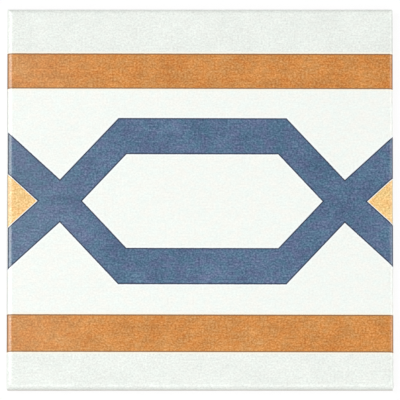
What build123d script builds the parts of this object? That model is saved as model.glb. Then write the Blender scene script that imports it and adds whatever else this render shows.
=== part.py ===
"""Square glazed ceramic tile, dry pressed and fired as one piece.

Millimetres. The tile lies on its back: the origin is the middle of the back, +Z points out of the
glazed face, and +X and +Y run along its sides.
"""

import os

from build123d import *

# Square and thickness of the pressed body
TILE_SIDE = 197.0
TILE_THICKNESS = 8.5

# Edges: the arris that the glaze runs over, the corners seen from the face, the bevel round the back
ARRIS_RADIUS = 2.6
CORNER_RADIUS = 0.5
BACK_BEVEL = 1.0

# Keys: shallow square hollows in the back that the adhesive grips, with ribs between them.
# An even number across leaves a crossing of two ribs at the origin.
KEYS_ACROSS = 6
BACK_BORDER = 10.0
RIB_WIDTH = 4.0
KEY_DEPTH = 0.8
KEY_CORNER = 3.0
KEY_DRAFT = 30.0

key_pitch = (TILE_SIDE - 2 * BACK_BORDER + RIB_WIDTH) / KEYS_ACROSS
key_side = key_pitch - RIB_WIDTH

# One stud of the lower punch, which presses a key. It narrows upwards, so that the tile lifts off it.
with BuildPart() as key_stud:
    with BuildSketch(Plane.XY):
        RectangleRounded(key_side, key_side, KEY_CORNER)
    extrude(amount=KEY_DEPTH, taper=KEY_DRAFT)

with BuildPart() as tile:
    with BuildSketch(Plane.XY):
        RectangleRounded(TILE_SIDE, TILE_SIDE, CORNER_RADIUS)
    extrude(amount=TILE_THICKNESS)

    # The same section, bevelled at the back and rounded at the face, runs across the tile both ways,
    # so the arrises meet in a mitre at each corner.
    for across in (Plane.XZ, Plane.YZ):
        with BuildSketch(across) as section:
            Rectangle(TILE_SIDE, TILE_THICKNESS, align=(Align.CENTER, Align.MIN))
            chamfer(section.vertices().group_by(Axis.Y)[0], BACK_BEVEL)
            fillet(section.vertices().group_by(Axis.Y)[-1], ARRIS_RADIUS)
        extrude(amount=TILE_SIDE, both=True, mode=Mode.INTERSECT)

    with GridLocations(key_pitch, key_pitch, KEYS_ACROSS, KEYS_ACROSS):
        add(key_stud.part, mode=Mode.SUBTRACT)

tile.part.label = "tile"

os.makedirs("parts", exist_ok=True)
export_step(tile.part, "parts/tile.step")
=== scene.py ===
"""A square glazed tile with a printed face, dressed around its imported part.

Metres, in the part's own frame: the tile lies on its back and its glazed face looks along +Z.
"""

import math
from collections import namedtuple

import bpy
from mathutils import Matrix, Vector, noise


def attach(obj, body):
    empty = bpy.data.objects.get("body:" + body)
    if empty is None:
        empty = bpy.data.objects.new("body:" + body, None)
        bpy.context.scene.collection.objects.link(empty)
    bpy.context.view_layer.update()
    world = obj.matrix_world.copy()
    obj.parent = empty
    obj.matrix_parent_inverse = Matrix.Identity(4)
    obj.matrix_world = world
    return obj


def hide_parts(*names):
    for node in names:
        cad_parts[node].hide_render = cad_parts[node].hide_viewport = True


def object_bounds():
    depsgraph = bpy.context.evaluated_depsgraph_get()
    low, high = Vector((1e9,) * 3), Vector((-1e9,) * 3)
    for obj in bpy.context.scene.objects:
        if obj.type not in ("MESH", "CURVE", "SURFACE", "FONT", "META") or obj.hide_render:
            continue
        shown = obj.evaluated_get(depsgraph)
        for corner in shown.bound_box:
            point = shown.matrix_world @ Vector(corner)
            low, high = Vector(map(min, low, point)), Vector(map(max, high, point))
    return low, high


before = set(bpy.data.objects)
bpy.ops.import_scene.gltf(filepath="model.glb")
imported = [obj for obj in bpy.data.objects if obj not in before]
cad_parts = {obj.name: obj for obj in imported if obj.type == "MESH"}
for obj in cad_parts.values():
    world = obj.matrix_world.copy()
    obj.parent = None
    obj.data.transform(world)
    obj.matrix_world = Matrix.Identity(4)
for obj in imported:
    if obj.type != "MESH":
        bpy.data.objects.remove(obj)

cad_low, cad_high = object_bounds()

MM = 0.001

# Pressed body, with the part's own sizes
HALF_SIDE = cad_high.x
FACE_HEIGHT = cad_high.z
ARRIS_RADIUS = 2.6 * MM
CORNER_RADIUS = 0.5 * MM
BACK_BEVEL = 1.0 * MM
KEYS_ACROSS = 6
BACK_BORDER = 10.0 * MM
RIB_WIDTH = 4.0 * MM
KEY_DEPTH = 0.8 * MM
KEY_CORNER = 3.0 * MM
KEY_DRAFT = math.radians(30.0)
key_pitch = (2 * HALF_SIDE - 2 * BACK_BORDER + RIB_WIDTH) / KEYS_ACROSS
half_key = (key_pitch - RIB_WIDTH) / 2

# Fired surface: the face's slow ripple, and the glaze that stops in an uneven line on the sides,
# where the lip of its end lies a little further in
RIPPLE_DEPTH = 0.05 * MM
RIPPLE_LENGTH = 24.0 * MM
GLAZE_THICKNESS = 0.12 * MM
GLAZE_LIP_INSET = 0.3 * GLAZE_THICKNESS
GLAZE_LINE = 4.3 * MM
GLAZE_WANDER = 1.1 * MM
GLAZE_WANDER_LENGTH = 9.0 * MM

# Unevenness: how strong its broad and its finer swell are, and how much shorter the finer one is
BROAD_SWELL = 0.4
FINER_SWELL = 0.2
FINER_TIMES = 2.3

# Edges that the press leaves soft: how far the softening reaches, how near the sharp edge it comes,
# how deep a key is there, and the smaller radius that the corners have at the foot of the bevel
PRESSED_EDGE = 0.22 * MM
PRESSED_NIP = 0.2 * PRESSED_EDGE
KEY_EDGE_DEPTH = 0.1 * KEY_DEPTH
BACK_CORNER_RADIUS = 0.4 * CORNER_RADIUS

# Skin: steps round the arris, how near the corners its lines lie so that they round well, how far
# the points at the glaze line and below it have slid from the face's lines to the back's, and how
# many of the lines round the tile are glazed
ARRIS_STEPS = 10
CORNER_LINES = (0.0, 0.25 * CORNER_RADIUS, 0.58 * CORNER_RADIUS, 1.04 * CORNER_RADIUS)
BORDER_LINES = (4.0 * MM, 7.0 * MM)
KEY_CORNER_LINES = (0.6 * KEY_CORNER, KEY_CORNER)
GLAZE_SLIDE = 0.3
CLAY_SLIDE = 0.6
GLAZED_ROUNDS = ARRIS_STEPS + 2

# Flat map: the start and the size of the square that the face and sides fill, and of the back's
SKIN_SQUARE = (0.003, 0.76)
BACK_SQUARE = (0.77, 0.225)

# Print, laid out from its own middle, which lies a little off the tile's and is turned a little.
# A tip is where two mirrored slants would meet on the print's long axis. A slant is run over rise.
# The blue stops just short of the left side, with a sharper edge, and the yellow short of the blue.
# All edges wobble with the grain.
PRINT_MIDDLE_X = 1.2 * MM
PRINT_MIDDLE_Y = -1.55 * MM
PRINT_TURN = math.radians(0.1)
PRINT_WOBBLE = 0.1 * MM
HEXAGON_RISE = 43.13 * MM
HEXAGON_TIP = 83.1 * MM
HEXAGON_SLANT = 0.932
WINDOW_RISE = 24.29 * MM
WINDOW_TIP = 61.29 * MM
WINDOW_SLANT = 0.928
ARM_TIP = 60.64 * MM
ARM_SLANT = 1.082
TRIANGLE_TIP = 84.12 * MM
STRAPWORK_END = -98.03 * MM
END_SHARPNESS = 1.25
YELLOW_HELD_BACK = 0.35 * MM
UPPER_BAND = (56.79 * MM, 75.16 * MM)
LOWER_BAND = (-79.76 * MM, -60.27 * MM)
INK_EDGE = 0.12 * MM

# Where the ink thins over the arris's shoulder, paler still as a painted highlight on the left,
# and as a painted sheen towards the tile's left end. Below the shoulder a dark line is painted as
# shade, lower on the right, and further down the ink ends. Apart from the shoulder's, these depths
# wander a little.
ARRIS_WANDER = 0.1 * MM
ARRIS_THIN = (0.05 * MM, 0.12 * MM)
ARRIS_THIN_SHARE = 0.03
LEFT_PAINTED_HIGHLIGHT_SHARE = 0.07
ARRIS_SHADE_LINE = (0.75 * MM, 1.15 * MM)
RIGHT_SHADE_LINE_LOWER = 0.3 * MM
ARRIS_BARE = (2.2 * MM, 3.2 * MM)
LEFT_END_SHEEN = (40.0 * MM, 98.0 * MM)
LEFT_END_SHEEN_SHARE = 0.032

# Where the ink lies thick along its edges, and the cleaner glaze beside it
RIM_DARK = (0.8 * MM, 0.5 * MM)
RIM_CLEAN = (1.2 * MM, 0.5 * MM)

# Painted shade: a darker band low on the arris, ending where the glaze thickens in a bead: along
# the upper side, on the left between the bands, and at the upper end of the right side
SHADE_BAND_DEPTHS = (0.8 * MM, 1.9 * MM)
GLAZE_BEAD = (2.4 * MM, 3.2 * MM)
PAINTED_SHADE_STRENGTH = 0.2
LEFT_SHADE_SPAN = (74.0 * MM, 56.0 * MM)
LEFT_SHADE_SHARE = 2.25
RIGHT_SHADE_SPAN = (50.0 * MM, 72.0 * MM)

# Clouds of all finishes: how strong their finer parts are, and how many levels of them there are,
# as a rule and in the plainest clouds
CLOUD_ROUGHNESS = 0.55
CLOUD_DETAIL = 2.0
PLAIN_DETAIL = 1.0

# Cloth-like print: size of its grain, threads and drifts, how they are stretched, and their shares
GRAIN_SIZE = 0.85 * MM
GRAIN_STRETCH = (0.85, 1.0, 1.0)
THREAD_SIZE = 0.9 * MM
THREAD_STRETCH = (0.2, 1.0, 1.0)
THREAD_SHARE = 0.28
CROSS_THREAD_STRETCH = (1.0, 0.3, 1.0)
CROSS_THREAD_SHARE = 0.18
LONG_THREAD_SIZE = 1.0 * MM
LONG_THREAD_STRETCH = (0.012, 1.0, 1.0)
LONG_THREAD_SHARE = 0.16
DRIFT_SIZE = 14.0 * MM
HUE_SIZE = 5.0 * MM
HUE_STRETCH = (1.0, 1.3, 1.0)
HUE_SPAN = (-0.5, 0.5)

# How far the weave, the slow drifts and the place on the tile lift the inks' tones and the white's
WEAVE_LIFT = 0.217
DRIFT_LIFT = 0.067
FOOT = (-60.0 * MM, 60.0 * MM)
FOOT_LIFT = 0.009
LOWEST_LIFT = -0.18
WHITE_WEAVE = 0.12
WHITE_DRIFT = 0.01
STRIP_WEAVE = 0.13
STRIP_DRIFT = 0.05
STRIP_FOOT = 0.012

# Satin glaze: its roughness, which is more on ink and most along the painted shade line on the
# arris, and its orange peel, with the weave showing through
GLAZE_ROUGHNESS = 0.2
INK_ROUGHNESS = 0.03
DRIFT_ROUGHNESS = 0.04
SHADE_LINE_ROUGHNESS = 0.35
GLAZE_IOR = 1.5
PEEL_SIZE = 1.6 * MM
PEEL_DEPTH = 0.008 * MM
WEAVE_RELIEF = 0.6

# Fired clay: its grit, its slow drifts of tone, its specks, and the kiln wash left low on the back
GRIT_SIZE = 0.8 * MM
GRIT_DETAIL = 4.0
GRIT_TONE = 0.14
GRIT_DEPTH = 0.06 * MM
CLAY_DRIFT_SIZE = 22.0 * MM
CLAY_DRIFT_SPAN = (-0.6, 0.6)
CLAY_DRIFT_GRIT = 0.3
SPECK_SPACING = 3.2 * MM
SPECK_EDGE = (0.09, 0.05)
SPECK_RAGGED = 0.05
SPECK_SHARE = 0.5
WASH_HEIGHT = (0.15 * MM, 0.02 * MM)
WASH_SPAN = (-0.1, 0.5)
WASH_GRIT = 0.5
WASH_SHARE = 0.7
CLAY_ROUGHNESS = 0.86
GRIT_ROUGHNESS = 0.06

# Photograph's view, with how far the camera is lowered along its own height
PHOTO_SIDE = 400
TILE_WIDTH_PX = 385.9
VIEW_TILT = math.radians(10.5)
VIEW_LOWERED = 0.18 * MM
LENS = 1300.0
SENSOR = 36.0

# Studio: soft panels, each with the side that it stands on and its lean off the upright in degrees,
# how far it is shifted across, its length and width, and its brightness, where 1 looks plain white
Panel = namedtuple("Panel", "name side lean shift length width brightness")
PANELS = (
    Panel("left_strip", 180.0, 41.0, -0.4, 2.54, 0.78, 4.89),
    Panel("right_panel", 0.0, 76.0, 0.3, 0.8, 1.95, 3.8),
    Panel("front_panel", -90.0, 42.0, 0.0, 2.0, 2.65, 1.43),
)
PANEL_DISTANCE = 2.2

# Room: the light that it gives, how bright it is seen, and the floor's reach and gap below the tile
ROOM_LIGHT = 0.269
ROOM_SEEN = 1.0
FLOOR_REACH = 40 * HALF_SIDE
FLOOR_GAP = 0.02 * MM

# How a screen's tones follow its light: nearly as a power, and exactly as a toe and a steeper curve
SCREEN_POWER = 2.2
SCREEN_LEVELS = 255.0
TOE_END = 0.04045
TOE_SLOPE = 12.92
CURVE_SHIFT = 0.055
CURVE_POWER = 2.4

# Where a Mix node has its colour sockets, whose names are also those of its number sockets
MIX_SHARE = 0
MIX_FIRST = 6
MIX_SECOND = 7
MIX_RESULT = 2


def tones(red, green, blue):
    """A colour given by its screen values, each from 0 to 1."""
    return (red / SCREEN_LEVELS, green / SCREEN_LEVELS, blue / SCREEN_LEVELS, 1.0)


def screen(red, green, blue):
    """A colour given by its screen values, as the linear values that a shader takes."""

    def linear(part):
        if part <= TOE_END:
            return part / TOE_SLOPE
        return ((part + CURVE_SHIFT) / (1.0 + CURVE_SHIFT)) ** CURVE_POWER

    return tuple(linear(part) for part in tones(red, green, blue)[:3]) + (1.0,)


def grey(value):
    """A grey of this linear value."""
    return (value, value, value, 1.0)


# Inks: two hues that drift into each other, how much of a lift their red, green and blue take, and
# the dark colour where the ink lies thick along its edges, also used as painted shade on the arris
Ink = namedtuple("Ink", "hues lifts thick")
OCHRE = Ink(
    hues=(tones(210, 132.5, 56), tones(197, 132.5, 65)),
    lifts=(0.86, 1.15, 1.33),
    thick=screen(143, 103, 62),
)
BLUE = Ink(
    hues=(tones(80.5, 97.5, 132.5), tones(69.5, 105.5, 132.5)),
    lifts=(1.23, 1.11, 1.09),
    thick=screen(7, 29, 63),
)
YELLOW = Ink(
    hues=(tones(249, 198.5, 127.5), tones(242, 203.5, 133.5)),
    lifts=(1.0, 1.24, 1.37),
    thick=screen(226, 214, 184),
)

# White glaze of the field and of the strips beyond the bands, each in two hues, and beside the inks
FIELD_WHITES = (screen(248.5, 249.5, 243.5), screen(244, 250.5, 245.5))
STRIP_WHITES = (screen(238, 242, 236), screen(237, 243, 237))
WHITE_BY_OCHRE = screen(255, 249, 233)
WHITE_BY_BLUE = screen(250, 255, 255)

# Clay, its specks and its kiln wash, and the floor's paper, as it lights the tile and, in two parts
# that take the shadow and give the white, as it is seen
CLAYS = (screen(204, 200, 191), screen(216, 213, 206))
SPECK = screen(160, 140, 118)
KILN_WASH = screen(240, 238, 233)
PAPER = screen(236, 236, 236)
PAPER_SHADE = grey(0.12)
PAPER_GLOW = grey(0.9)
ROOM_WHITE = grey(1.0)


class Value:
    """A number that changes over a surface. An expression on values adds its Math nodes."""

    def __init__(self, recipe, socket):
        self.recipe = recipe
        self.socket = socket

    def __add__(self, other):
        return self.recipe.math("ADD", self, other)

    def __sub__(self, other):
        return self.recipe.math("SUBTRACT", self, other)

    def __rsub__(self, other):
        return self.recipe.math("SUBTRACT", other, self)

    def __mul__(self, other):
        return self.recipe.math("MULTIPLY", self, other)

    def __truediv__(self, other):
        return self.recipe.math("DIVIDE", self, other)

    def __rtruediv__(self, other):
        return self.recipe.math("DIVIDE", other, self)

    def __neg__(self):
        return self.recipe.math("MULTIPLY", self, -1.0)

    def __abs__(self):
        return self.recipe.math("ABSOLUTE", self)

    def __gt__(self, other):
        return self.recipe.math("GREATER_THAN", self, other)

    def least(self, other):
        return self.recipe.math("MINIMUM", self, other)

    def most(self, other):
        return self.recipe.math("MAXIMUM", self, other)

    __radd__ = __add__
    __rmul__ = __mul__


class Recipe:
    """A material or the world, and the nodes that it is mixed from."""

    def __init__(self, owner):
        owner.use_nodes = True
        self.owner = owner
        self.tree = owner.node_tree
        self.tree.nodes.clear()

    def node(self, kind, settings=None, sockets=None):
        """Adds a node of this kind, with its settings and then its sockets' values or links."""
        made = self.tree.nodes.new(kind)
        for name, setting in (settings or {}).items():
            setattr(made, name, setting)
        for name, value in (sockets or {}).items():
            socket = made.inputs[name]
            if isinstance(value, Value):
                self.tree.links.new(value.socket, socket)
            elif isinstance(value, bpy.types.NodeSocket):
                self.tree.links.new(value, socket)
            else:
                socket.default_value = value
        return made

    def math(self, operation, *numbers):
        made = self.node("ShaderNodeMath", {"operation": operation}, dict(enumerate(numbers)))
        return Value(self, made.outputs[0])

    def place(self):
        """The place on the tile, as a vector and as its three numbers."""
        place = self.node("ShaderNodeTexCoord").outputs["Object"]
        parts = self.node("ShaderNodeSeparateXYZ", None, {0: place})
        return place, [Value(self, part) for part in parts.outputs]

    def stretched(self, place, scale):
        """A place with each of its three numbers scaled."""
        made = self.node("ShaderNodeVectorMath", {"operation": "MULTIPLY"}, {0: place, 1: scale})
        return made.outputs[0]

    def clouds(self, place, size, detail=CLOUD_DETAIL):
        """Soft clouds of about this size, from -1 to 1."""
        made = self.node("ShaderNodeTexNoise", None, {
            "Vector": place,
            "Scale": 1.0 / size,
            "Detail": detail,
            "Roughness": CLOUD_ROUGHNESS,
        })
        return Value(self, made.outputs["Fac"]) * 2.0 - 1.0

    def ease(self, value, low, high):
        """Runs smoothly from 0 at one bound to 1 at the other."""
        sockets = {"Value": value, "From Min": low, "From Max": high}
        made = self.node("ShaderNodeMapRange", {"interpolation_type": "SMOOTHSTEP"}, sockets)
        return Value(self, made.outputs["Result"])

    def mix(self, share, first, second):
        """Two colours, mixed by a share of the second."""
        sockets = {MIX_SHARE: share, MIX_FIRST: first, MIX_SECOND: second}
        made = self.node("ShaderNodeMix", {"data_type": "RGBA"}, sockets)
        return made.outputs[MIX_RESULT]

    def toned(self, colour, tone):
        """A colour made brighter or darker by a number."""
        made = self.node("ShaderNodeVectorMath", {"operation": "SCALE"}, {0: colour, "Scale": tone})
        return made.outputs[0]

    def bump(self, depth, height):
        """The surface's direction where a relief of this depth lies on it."""
        made = self.node("ShaderNodeBump", None, {"Distance": depth, "Height": height})
        return made.outputs[0]

    def seen_by_eye(self, unseen, seen):
        """Two shaders, the second for rays from the camera, a reflection or through glass."""
        path = self.node("ShaderNodeLightPath").outputs
        camera_ray = Value(self, path["Is Camera Ray"])
        eye = camera_ray.most(path["Is Glossy Ray"]).most(path["Is Transmission Ray"])
        made = self.node("ShaderNodeMixShader", None, {0: eye, 1: unseen, 2: seen})
        return made.outputs[0]

    def finish(self, shader, output="ShaderNodeOutputMaterial"):
        self.node(output, None, {"Surface": shader})
        return self.owner


def print_edges(x, y):
    """How far a place lies outside the ochre bands, the blue strapwork and the yellow triangles.

    The last number is above 0 in the white strips beyond the bands.
    """
    along = x * math.cos(PRINT_TURN) - y * math.sin(PRINT_TURN)
    up = x * math.sin(PRINT_TURN) + y * math.cos(PRINT_TURN)
    run = abs(along - PRINT_MIDDLE_X)
    rise = abs(up - PRINT_MIDDLE_Y)

    def slanted(tip, slant):
        return (run + rise * slant - tip) / math.hypot(1.0, slant)

    hexagon = (rise - HEXAGON_RISE).most(slanted(HEXAGON_TIP, HEXAGON_SLANT))
    window = (rise - WINDOW_RISE).most(slanted(WINDOW_TIP, WINDOW_SLANT))
    arms = -slanted(ARM_TIP, -ARM_SLANT)
    triangles = -slanted(TRIANGLE_TIP, -ARM_SLANT)
    end = (STRAPWORK_END - x) * END_SHARPNESS
    strapwork = hexagon.least(arms).most(-window).most(-triangles).most(end)

    def band(low, high):
        return abs(up - (low + high) / 2) - (high - low) / 2

    bands = band(*UPPER_BAND).least(band(*LOWER_BAND))
    beyond_bands = (up - sum(UPPER_BAND) / 2).most(sum(LOWER_BAND) / 2 - up)
    return bands, strapwork, triangles, beyond_bands


def printed_glaze():
    """White glaze with ochre, blue and yellow prints that look like coarse cloth close up."""
    glaze = Recipe(bpy.data.materials.new("printed_glaze"))
    place, (x, y, z) = glaze.place()

    # Weave and drifts
    grain = glaze.clouds(glaze.stretched(place, GRAIN_STRETCH), GRAIN_SIZE, PLAIN_DETAIL)
    threads = glaze.clouds(glaze.stretched(place, THREAD_STRETCH), THREAD_SIZE)
    cross_threads = glaze.clouds(glaze.stretched(place, CROSS_THREAD_STRETCH), THREAD_SIZE)
    long_threads = glaze.clouds(glaze.stretched(place, LONG_THREAD_STRETCH), LONG_THREAD_SIZE)
    drifts = glaze.clouds(place, DRIFT_SIZE)
    hue_drifts = glaze.clouds(glaze.stretched(place, HUE_STRETCH), HUE_SIZE, PLAIN_DETAIL)
    tint = glaze.ease(hue_drifts, *HUE_SPAN)
    weave = grain + threads * THREAD_SHARE + cross_threads * CROSS_THREAD_SHARE
    cloth = weave + long_threads * LONG_THREAD_SHARE
    foot = glaze.ease(-y, *FOOT)
    lift = (cloth * WEAVE_LIFT + drifts * DRIFT_LIFT + foot * FOOT_LIFT).most(LOWEST_LIFT)

    # Layout, and how thick the ink lies
    wobble = grain * PRINT_WOBBLE
    bands, strapwork, triangles, beyond_bands = print_edges(x + wobble, y + wobble)
    strips = beyond_bands > 0.0
    right = x > 0.0
    left = 1.0 - right
    depth = FACE_HEIGHT - z + drifts * ARRIS_WANDER
    # Painted shade: a line of the inks' dark colour low on the arris, all round the tile
    arris_shade_line = glaze.ease(depth - right * RIGHT_SHADE_LINE_LOWER, *ARRIS_SHADE_LINE)
    shoulder = glaze.ease(FACE_HEIGHT - z, *ARRIS_THIN) * (1.0 - arris_shade_line)
    # Paler ink: on the shoulder, as painted highlight on the left, as painted sheen at the left end
    thin_ink_and_painted_highlight = shoulder * (ARRIS_THIN_SHARE + left * LEFT_PAINTED_HIGHLIGHT_SHARE)
    thin_ink_and_painted_highlight = thin_ink_and_painted_highlight + glaze.ease(-x, *LEFT_END_SHEEN) * LEFT_END_SHEEN_SHARE
    ink_reach = 1.0 - glaze.ease(depth, *ARRIS_BARE)

    # The inks' dark colour along their edges, and as painted shade along the arris's line
    def dark_rim_and_shade_line(edge):
        return glaze.ease(-edge, *RIM_DARK).most(arris_shade_line)

    def inked(edge):
        spread = 1.0 - thin_ink_and_painted_highlight * (1.0 - dark_rim_and_shade_line(edge))
        return glaze.ease(edge, INK_EDGE, -INK_EDGE) * spread * ink_reach

    def woven(ink):
        hue = glaze.mix(tint, *ink.hues)
        sockets = {0: lift, 1: ink.lifts, 2: hue}
        lifted = glaze.node("ShaderNodeVectorMath", {"operation": "MULTIPLY_ADD"}, sockets)
        light = glaze.node("ShaderNodeGamma", None, {0: lifted.outputs[0], 1: SCREEN_POWER})
        return light.outputs[0]

    def cleaned(colour, edge, clean):
        return glaze.mix(glaze.ease(edge, *RIM_CLEAN), colour, clean)

    # Glaze and inks
    white = glaze.mix(strips, glaze.mix(tint, *FIELD_WHITES), glaze.mix(tint, *STRIP_WHITES))
    white_weave = weave * (WHITE_WEAVE + strips * STRIP_WEAVE)
    white_drift = drifts * (WHITE_DRIFT + strips * STRIP_DRIFT)
    white = glaze.toned(white, 1.0 + white_weave + white_drift + strips * foot * STRIP_FOOT)
    white = cleaned(cleaned(white, bands, WHITE_BY_OCHRE), strapwork, WHITE_BY_BLUE)
    ochre = glaze.mix(dark_rim_and_shade_line(bands), woven(OCHRE), OCHRE.thick)
    blue = glaze.mix(dark_rim_and_shade_line(strapwork), woven(BLUE), BLUE.thick)
    # The yellow turns greyish beige along the arris's line as painted shade
    yellow = glaze.mix(arris_shade_line, woven(YELLOW), YELLOW.thick)
    colour = glaze.mix(inked(bands), white, ochre)
    colour = glaze.mix(inked(strapwork), colour, blue)
    colour = glaze.mix(inked(triangles + YELLOW_HELD_BACK), colour, yellow)

    # Painted shade in a band low on the arris, which darkens the glaze there
    shade_band = glaze.ease(depth, *SHADE_BAND_DEPTHS) * (1.0 - glaze.ease(depth, *GLAZE_BEAD))
    sides = abs(x) > abs(y)
    left_share = glaze.ease(abs(y), *LEFT_SHADE_SPAN) * LEFT_SHADE_SHARE
    side_share = right * glaze.ease(y, *RIGHT_SHADE_SPAN) + left * left_share
    painted_edge_shade = shade_band * (sides * side_share + (1.0 - sides) * (y > 0.0))
    colour = glaze.toned(colour, 1.0 - painted_edge_shade * PAINTED_SHADE_STRENGTH)

    inked_share = inked(bands).most(inked(strapwork)).most(inked(triangles))
    roughness = GLAZE_ROUGHNESS + inked_share * INK_ROUGHNESS + drifts * DRIFT_ROUGHNESS
    peel = glaze.clouds(place, PEEL_SIZE, PLAIN_DETAIL)
    satin = glaze.node("ShaderNodeBsdfPrincipled", None, {
        "Base Color": colour,
        "Roughness": roughness + arris_shade_line * SHADE_LINE_ROUGHNESS,
        "IOR": GLAZE_IOR,
        "Normal": glaze.bump(PEEL_DEPTH, peel + weave * WEAVE_RELIEF),
    })
    return glaze.finish(satin.outputs[0])


def biscuit():
    """Fired pale clay, with specks, and white kiln wash left on what stood on the kiln's batt."""
    clay = Recipe(bpy.data.materials.new("biscuit"))
    place, (_, _, height) = clay.place()
    grit = clay.clouds(place, GRIT_SIZE, GRIT_DETAIL)
    drifts = clay.clouds(place, CLAY_DRIFT_SIZE)
    spacing = {"Vector": place, "Scale": 1.0 / SPECK_SPACING}
    specks = clay.node("ShaderNodeTexVoronoi", None, spacing)
    speck_reach = Value(clay, specks.outputs["Distance"]) + grit * SPECK_RAGGED
    pale = clay.ease(drifts + grit * CLAY_DRIFT_GRIT, *CLAY_DRIFT_SPAN)
    colour = clay.toned(clay.mix(pale, *CLAYS), 1.0 + grit * GRIT_TONE)
    colour = clay.mix(clay.ease(speck_reach, *SPECK_EDGE) * SPECK_SHARE, colour, SPECK)
    wash = clay.ease(height, *WASH_HEIGHT) * clay.ease(drifts + grit * WASH_GRIT, *WASH_SPAN)
    colour = clay.mix(wash * WASH_SHARE, colour, KILN_WASH)
    matt = clay.node("ShaderNodeBsdfPrincipled", None, {
        "Base Color": colour,
        "Roughness": CLAY_ROUGHNESS + grit * GRIT_ROUGHNESS,
        "Normal": clay.bump(GRIT_DEPTH, grit),
    })
    return clay.finish(matt.outputs[0])


def round_corner(x, y, half, radius):
    """Pulls a place near the corner of a square on to the arc that rounds it."""
    middle = half - radius
    over_x, over_y = abs(x) - middle, abs(y) - middle
    if min(over_x, over_y) <= 0.0:
        return x, y
    reach = max(over_x, over_y)
    angle = math.pi / 4 * min(over_x, over_y) / reach
    far, near = reach * math.cos(angle), reach * math.sin(angle)
    over_x, over_y = (far, near) if over_x >= over_y else (near, far)
    return math.copysign(middle + over_x, x), math.copysign(middle + over_y, y)


def drift(x, y, length):
    """A slow, smooth unevenness over the tile, from 0 to 1."""
    spot = Vector((x, y, 0.0)) / length
    swell = BROAD_SWELL * noise.noise(spot) + FINER_SWELL * noise.noise(spot * FINER_TIMES)
    return min(1.0, max(0.0, 0.5 + swell))


def key_profile():
    """A key's section: distances in from its mouth, with the depth that it has there."""
    wall = KEY_DEPTH * math.tan(KEY_DRAFT)
    return [
        (-PRESSED_EDGE, 0.0),
        (PRESSED_NIP, KEY_EDGE_DEPTH),
        (wall - PRESSED_NIP, KEY_DEPTH - KEY_EDGE_DEPTH),
        (wall + PRESSED_EDGE, KEY_DEPTH),
    ]


def key_depth(inward):
    """Depth of a key at this distance in from its mouth."""
    profile = key_profile()
    if inward <= profile[0][0]:
        return profile[0][1]
    for (start, shallow), (end, deep) in zip(profile, profile[1:]):
        if inward <= end:
            return shallow + (deep - shallow) * (inward - start) / (end - start)
    return KEY_DEPTH


# One line of the back's grid: where it lies, and the middle of the key that it crosses, if any
BackLine = namedtuple("BackLine", "place key")


def back_lines():
    """Lines of the back's grid from one side to the other."""
    inward = [start for start, depth in key_profile()] + list(KEY_CORNER_LINES)
    outward = [half_key - start for start in inward] + [(half_key - KEY_CORNER) / 2]
    offsets = [-step for step in outward] + [0.0] + outward[::-1]
    end = HALF_SIDE - BACK_BEVEL
    border = [BackLine(end - step, None) for step in CORNER_LINES + BORDER_LINES]
    lines = [BackLine(-line.place, None) for line in border]
    for number in range(KEYS_ACROSS):
        middle = (number - (KEYS_ACROSS - 1) / 2) * key_pitch
        lines += [BackLine(middle + offset, middle) for offset in offsets]
    return lines + border[::-1]


def face_lines(count):
    """Lines of the face's grid, as many as the back has."""
    end = HALF_SIDE - ARRIS_RADIUS
    near = [end - step for step in CORNER_LINES]
    inside = count - 2 * len(near)
    gap = 2 * near[-1] / (inside + 1)
    return [-step for step in near] + [gap * (k + 1) - near[-1] for k in range(inside)] + near[::-1]


# One line round the tile between the face's grid and the back's: how far it lies in from the side,
# its height, the radius of its corners, how far its points have slid from the face's lines to the
# back's, how much the glaze line's wander moves it, and how much the face's ripple does
Round = namedtuple("Round", "inset height corner slide wander ripple")


def rounds():
    """Lines round the tile, down over the arris and past the glaze line to the bevel."""
    lines = []
    for step in range(1, ARRIS_STEPS + 1):
        angle = math.pi / 2 * step / ARRIS_STEPS
        inset = ARRIS_RADIUS * (1.0 - math.sin(angle))
        height = FACE_HEIGHT - ARRIS_RADIUS * (1.0 - math.cos(angle))
        corner = CORNER_RADIUS * math.sin(angle)
        lines.append(Round(inset, height, corner, 0.0, 0.0, math.cos(angle)))
    lip = GLAZE_LINE + GLAZE_THICKNESS
    raw = GLAZE_THICKNESS
    bevel_top = BACK_BEVEL - raw - PRESSED_NIP
    lines += [
        Round(0.0, lip + GLAZE_THICKNESS, CORNER_RADIUS, GLAZE_SLIDE, 1.0, 0.0),
        Round(GLAZE_LIP_INSET, lip, CORNER_RADIUS, GLAZE_SLIDE, 1.0, 0.0),
        Round(raw, GLAZE_LINE, CORNER_RADIUS, GLAZE_SLIDE, 1.0, 0.0),
        Round(raw, GLAZE_LINE - GLAZE_WANDER, CORNER_RADIUS, CLAY_SLIDE, 0.5, 0.0),
        Round(raw, BACK_BEVEL + PRESSED_EDGE, CORNER_RADIUS, 1.0, 0.0, 0.0),
        Round(raw + PRESSED_NIP, bevel_top, CORNER_RADIUS, 1.0, 0.0, 0.0),
        Round(BACK_BEVEL - PRESSED_EDGE, PRESSED_EDGE, BACK_CORNER_RADIUS, 1.0, 0.0, 0.0),
    ]
    return lines


def strip(upper, lower):
    """Faces between two lines round the tile, looking outwards."""
    following = list(range(1, len(upper))) + [0]
    return [(upper[a], lower[a], lower[b], upper[b]) for a, b in enumerate(following)]


def on_map(place, reach, square):
    """A place on a flat square of the tile, as it lies in a square of the flat map."""
    start, size = square
    return [start + size * (0.5 + 0.5 * part / reach) for part in place]


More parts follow.
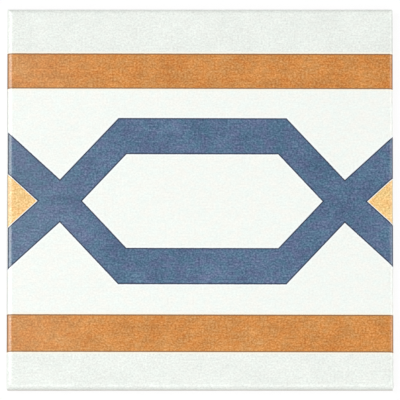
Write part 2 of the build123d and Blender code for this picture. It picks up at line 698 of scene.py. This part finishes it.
def tile_skin(glaze, clay):
    """The tile's whole skin as one closed mesh: face, arris, sides, bevel and back."""
    back = back_lines()
    count = len(back)
    face = face_lines(count)
    face_end, back_end = face[-1], back[-1].place
    last_line = count - 1
    steps = range(last_line)
    outline = (
        [(k, 0) for k in steps]
        + [(last_line, k) for k in steps]
        + [(last_line - k, last_line) for k in steps]
        + [(0, last_line - k) for k in steps]
    )
    points, skin_places, back_places = [], {}, {}
    faces, surfaces = [], []

    def add(point, flat):
        skin_places[len(points)] = flat
        points.append(point)
        return len(points) - 1

    def grid(indices, turned):
        for i in steps:
            for j in steps:
                ring = [indices[i][j], indices[i + 1][j], indices[i + 1][j + 1], indices[i][j + 1]]
                faces.append(ring[::-1] if turned else ring)

    def rippled(x, y):
        return RIPPLE_DEPTH * drift(x, y, RIPPLE_LENGTH)

    face_grid = [[add((x, y, FACE_HEIGHT - rippled(x, y)), (x, y)) for y in face] for x in face]
    grid(face_grid, False)
    surfaces += [0] * len(faces)

    upper = [face_grid[i][j] for i, j in outline]
    spread, last = face_end, (ARRIS_RADIUS, FACE_HEIGHT)
    for number, line in enumerate(rounds()):
        half = HALF_SIDE - line.inset
        spread += math.dist(last, line[:2])
        last = line[:2]
        lower = []
        for i, j in outline:
            u, v = (
                face[k] / face_end * (1.0 - line.slide) + back[k].place / back_end * line.slide
                for k in (i, j)
            )
            x, y = round_corner(u * half, v * half, half, line.corner)
            wander = GLAZE_WANDER * (drift(x, y, GLAZE_WANDER_LENGTH) - 0.5)
            z = line.height + wander * line.wander - rippled(x, y) * line.ripple
            lower.append(add((x, y, z), (u * spread, v * spread)))
        faces += strip(upper, lower)
        surfaces += [0 if number < GLAZED_ROUNDS else 1] * len(outline)
        upper = lower

    spread += math.dist(last, (BACK_BEVEL, 0.0))
    back_scale = spread / back_end
    back_grid = []
    for across in back:
        back_grid.append([])
        for along in back:
            x, y, depth = across.place, along.place, 0.0
            if across.key is not None and along.key is not None:
                x, y = x - across.key, y - along.key
                depth = key_depth(half_key - max(abs(x), abs(y)))
                x, y = round_corner(x, y, half_key, KEY_CORNER)
                x, y = x + across.key, y + along.key
            index = add((x, y, depth), (across.place * back_scale, along.place * back_scale))
            back_grid[-1].append(index)
            back_places[index] = (x, y)
    faces += strip(upper, [back_grid[i][j] for i, j in outline])
    surfaces += [1] * len(outline)
    first_back_face = len(faces)
    grid(back_grid, True)
    surfaces += [1] * (len(faces) - first_back_face)

    mesh = bpy.data.meshes.new("glazed_tile")
    mesh.from_pydata(points, [], faces)
    mesh.materials.append(glaze)
    mesh.materials.append(clay)
    mesh.polygons.foreach_set("material_index", surfaces)
    mesh.polygons.foreach_set("use_smooth", [True] * len(faces))
    flat = mesh.uv_layers.new(name="OFBake")
    for polygon in mesh.polygons:
        for corner in polygon.loop_indices:
            vertex = mesh.loops[corner].vertex_index
            if polygon.index < first_back_face:
                flat.data[corner].uv = on_map(skin_places[vertex], spread, SKIN_SQUARE)
            else:
                flat.data[corner].uv = on_map(back_places[vertex], back_end, BACK_SQUARE)
    mesh.validate()
    return mesh


def put(name, data):
    made = bpy.data.objects.new(name, data)
    bpy.context.scene.collection.objects.link(made)
    return made


def floor():
    """A plain white floor that shows as white paper and still holds a soft shadow."""
    paper = Recipe(bpy.data.materials.new("white_paper"))
    matt = paper.node("ShaderNodeBsdfDiffuse", None, {"Color": PAPER})
    shade = paper.node("ShaderNodeBsdfDiffuse", None, {"Color": PAPER_SHADE})
    glow = paper.node("ShaderNodeEmission", None, {"Color": PAPER_GLOW})
    shown = paper.node("ShaderNodeAddShader", None, {0: shade.outputs[0], 1: glow.outputs[0]})
    paper.finish(paper.seen_by_eye(matt.outputs[0], shown.outputs[0]))
    signs = ((-1, -1), (1, -1), (1, 1), (-1, 1))
    corners = [(x * FLOOR_REACH, y * FLOOR_REACH, 0.0) for x, y in signs]
    mesh = bpy.data.meshes.new("floor")
    mesh.from_pydata(corners, [], [(0, 1, 2, 3)])
    mesh.materials.append(paper.owner)
    made = put("floor", mesh)
    made.location.z = cad_low.z - FLOOR_GAP


def soft_light(panel):
    """A soft panel that looks at the tile. Its length runs up and down and its width across."""
    light = bpy.data.lights.new(panel.name, "AREA")
    light.shape = "RECTANGLE"
    light.size, light.size_y = panel.length, panel.width
    light.energy = panel.brightness * math.pi * panel.length * panel.width
    side, lean = math.radians(panel.side), math.radians(panel.lean)
    out = PANEL_DISTANCE * math.sin(lean)
    made = put(panel.name, light)
    made.location = (
        out * math.cos(side) - panel.shift * math.sin(side),
        out * math.sin(side) + panel.shift * math.cos(side),
        PANEL_DISTANCE * math.cos(lean),
    )
    made.rotation_euler = (0.0, lean, side)


def studio():
    """A bright strip on the left, broader panels on the right and in front, and a white room."""
    for panel in PANELS:
        soft_light(panel)
    room = Recipe(bpy.data.worlds.new("white_room"))
    light = room.node("ShaderNodeBackground", None, {"Color": ROOM_WHITE, "Strength": ROOM_LIGHT})
    white = room.node("ShaderNodeBackground", None, {"Color": ROOM_WHITE, "Strength": ROOM_SEEN})
    shown = room.seen_by_eye(light.outputs[0], white.outputs[0])
    bpy.context.scene.world = room.finish(shown, "ShaderNodeOutputWorld")


def camera():
    """Looks down from a little towards -Y, so far off that the sides stay nearly parallel."""
    lens = bpy.data.cameras.new("camera")
    lens.lens, lens.sensor_width = LENS, SENSOR
    frame_side = 2 * HALF_SIDE * PHOTO_SIDE / TILE_WIDTH_PX
    distance = LENS / SENSOR * frame_side
    made = put("camera", lens)
    made.location = (
        0.0,
        -distance * math.sin(VIEW_TILT) - VIEW_LOWERED * math.cos(VIEW_TILT),
        FACE_HEIGHT / 2 + distance * math.cos(VIEW_TILT) - VIEW_LOWERED * math.sin(VIEW_TILT),
    )
    made.rotation_euler = (VIEW_TILT, 0.0, 0.0)
    lens.clip_end = 2 * distance
    bpy.context.scene.camera = made


tile = put("glazed_tile", tile_skin(printed_glaze(), biscuit()))
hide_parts("tile")
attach(tile, "root")
floor()
studio()
camera()
bpy.context.scene.view_settings.view_transform = "Standard"
